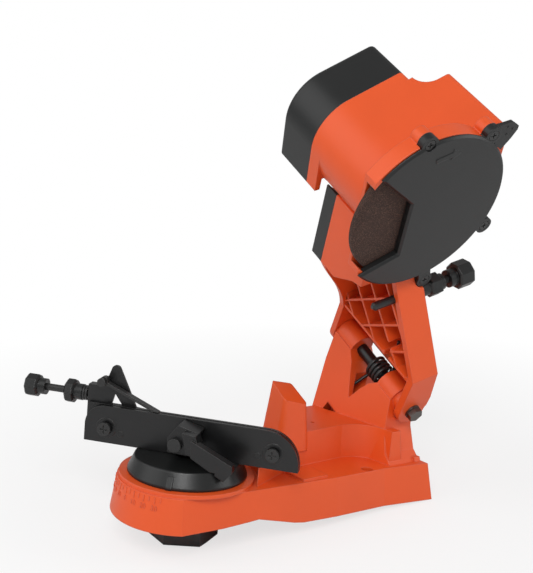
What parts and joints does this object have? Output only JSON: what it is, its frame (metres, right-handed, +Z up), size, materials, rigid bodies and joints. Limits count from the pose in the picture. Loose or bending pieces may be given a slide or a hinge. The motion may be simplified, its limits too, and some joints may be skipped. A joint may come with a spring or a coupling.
{
  "type": "electric chainsaw sharpener",
  "caption": "Bench grinder for saw chains: a sprung motor head with a guarded thin wheel swings down to a turning chain vise.",
  "frame": {"origin": "middle of the two bench bolts, on the bench plane", "axes": "+X towards the yoke of the head, -Y towards the operator and the guard, +Z up"},
  "size_m": [0.268, 0.2326, 0.3381],
  "materials": {
    "orange_casting": "powder coat",
    "orange_housing": "fine moulded",
    "black_plastic": "fine moulded",
    "black_metal": "black coated",
    "dark_steel": "blackened",
    "bright_steel": "ground",
    "copper_wire": "enamelled",
    "carbon": "pressed",
    "abrasive": "bonded grit",
    "black_rubber": "moulded"
  },
  "bodies": {
    "base": {"base_casting": "orange_casting", "pivot_sleeve": "black_metal", "torsion_spring": "dark_steel"},
    "head": {"head_housing": "orange_housing", "pivot_bolt": "dark_steel", "pivot_washer": "dark_steel", "pivot_nut": "dark_steel", "motor_cover": "black_plastic", "cover_screws": "dark_steel", "wiring_cover": "black_plastic", "switch_body": "black_plastic", "cable_gland": "black_rubber", "guard": "black_plastic", "guard_screws": "dark_steel", "stator": "bright_steel", "field_coils": "copper_wire", "brushes": "carbon", "front_bearing": "bright_steel", "rear_bearing": "bright_steel"},
    "spindle": {"rotor_shaft": "bright_steel", "fan": "black_plastic", "inner_flange": "bright_steel", "outer_flange": "bright_steel", "wheel_nut": "bright_steel", "grinding_wheel": "abrasive"},
    "switch": {"switch_rocker": "black_plastic"},
    "depth_screw": {"depth_screw": "dark_steel"},
    "depth_knob": {"depth_knob": "black_plastic"},
    "depth_lock": {"depth_lock_knob": "black_plastic"},
    "turntable": {"turntable": "black_plastic", "turntable_bolt": "dark_steel", "rear_rail": "black_metal", "rail_screws": "dark_steel", "rail_nuts": "dark_steel", "stop_bracket": "black_metal", "stop_washers": "dark_steel", "pawl_pin": "dark_steel"},
    "clamp_knob": {"clamp_knob": "black_plastic", "clamp_washer": "dark_steel"},
    "front_rail": {"front_rail": "black_metal"},
    "clamp_lever": {"clamp_lever": "black_metal", "lever_screw": "dark_steel"},
    "stop_screw": {"stop_screw": "dark_steel"},
    "stop_knob": {"stop_knob": "black_plastic"},
    "stop_lock": {"stop_lock_knob": "black_plastic"},
    "pawl": {"pawl": "bright_steel"}
  },
  "joints": [
    {"name": "head_swing", "type": "hinge", "parent": "base", "child": "head", "pos_m": [0.04, -0.009, 0.08735], "axis": [0, -0.866, -0.5], "range_deg": [0, 58], "stiffness_Nm_per_rad": 1.6, "springref_deg": -51.57, "deforming": ["torsion_spring"]},
    {"name": "wheel_spin", "type": "hinge", "parent": "head", "child": "spindle", "pos_m": [-0.0185, -0.08641, 0.22143], "axis": [0, -0.866, -0.5], "continuous": true},
    {"name": "switch_rock", "type": "hinge", "parent": "head", "child": "switch", "pos_m": [-0.01106, -0.01128, 0.20941], "axis": [0.3535, 0.4677, -0.8101], "range_deg": [0, 18]},
    {"name": "depth_knob_turn", "type": "hinge", "parent": "depth_screw", "child": "depth_knob", "pos_m": [0.04773, -0.05839, 0.16589], "axis": [-0.9354, 0.1767, -0.3061], "range_deg": [-2520, 0]},
    {"name": "depth_screw_slide", "type": "slide", "parent": "head", "child": "depth_screw", "axis": [-0.9354, 0.1767, -0.3061], "range_m": [-0.00875, 0]},
    {"name": "depth_lock_turn", "type": "hinge", "parent": "head", "child": "depth_lock", "pos_m": [0.02771, -0.05461, 0.15934], "axis": [-0.9354, 0.1767, -0.3061], "range_deg": [-180, 0]},
    {"name": "vise_turn", "type": "hinge", "parent": "base", "child": "turntable", "pos_m": [-0.125, 0, 0.03], "axis": [0, 0, 1], "range_deg": [-76, 0]},
    {"name": "clamp_knob_turn", "type": "hinge", "parent": "turntable", "child": "clamp_knob", "pos_m": [-0.125, 0, -0.005], "axis": [0, 0, 1], "range_deg": [-180, 180]},
    {"name": "clamp_lever_turn", "type": "hinge", "parent": "front_rail", "child": "clamp_lever", "pos_m": [-0.1354, -0.00293, 0.0533], "axis": [-0.788, -0.6157, 0], "range_deg": [0, 45]},
    {"name": "front_rail_slide", "type": "slide", "parent": "turntable", "child": "front_rail", "axis": [-0.788, -0.6157, 0], "range_m": [0, 0.001]},
    {"name": "stop_knob_turn", "type": "hinge", "parent": "stop_screw", "child": "stop_knob", "pos_m": [-0.18606, 0.09188, 0.071], "axis": [0.6157, -0.788, 0], "range_deg": [-720, 720]},
    {"name": "stop_screw_slide", "type": "slide", "parent": "turntable", "child": "stop_screw", "axis": [0.6157, -0.788, 0], "range_m": [-0.0025, 0.0025]},
    {"name": "stop_lock_turn", "type": "hinge", "parent": "turntable", "child": "stop_lock", "pos_m": [-0.17129, 0.07297, 0.071], "axis": [0.6157, -0.788, 0], "range_deg": [-180, 0]},
    {"name": "pawl_swing", "type": "hinge", "parent": "turntable", "child": "pawl", "pos_m": [-0.1636, 0.04941, 0.084], "axis": [-0.788, -0.6157, 0], "range_deg": [0, 55]}
  ],
  "couplings": [
    {"joint": "depth_knob_turn", "follows": "depth_screw_slide", "rad_per_m": 5026.5},
    {"joint": "clamp_lever_turn", "follows": "front_rail_slide", "rad_per_m": 785.4},
    {"joint": "stop_knob_turn", "follows": "stop_screw_slide", "rad_per_m": 5026.5}
  ]
}
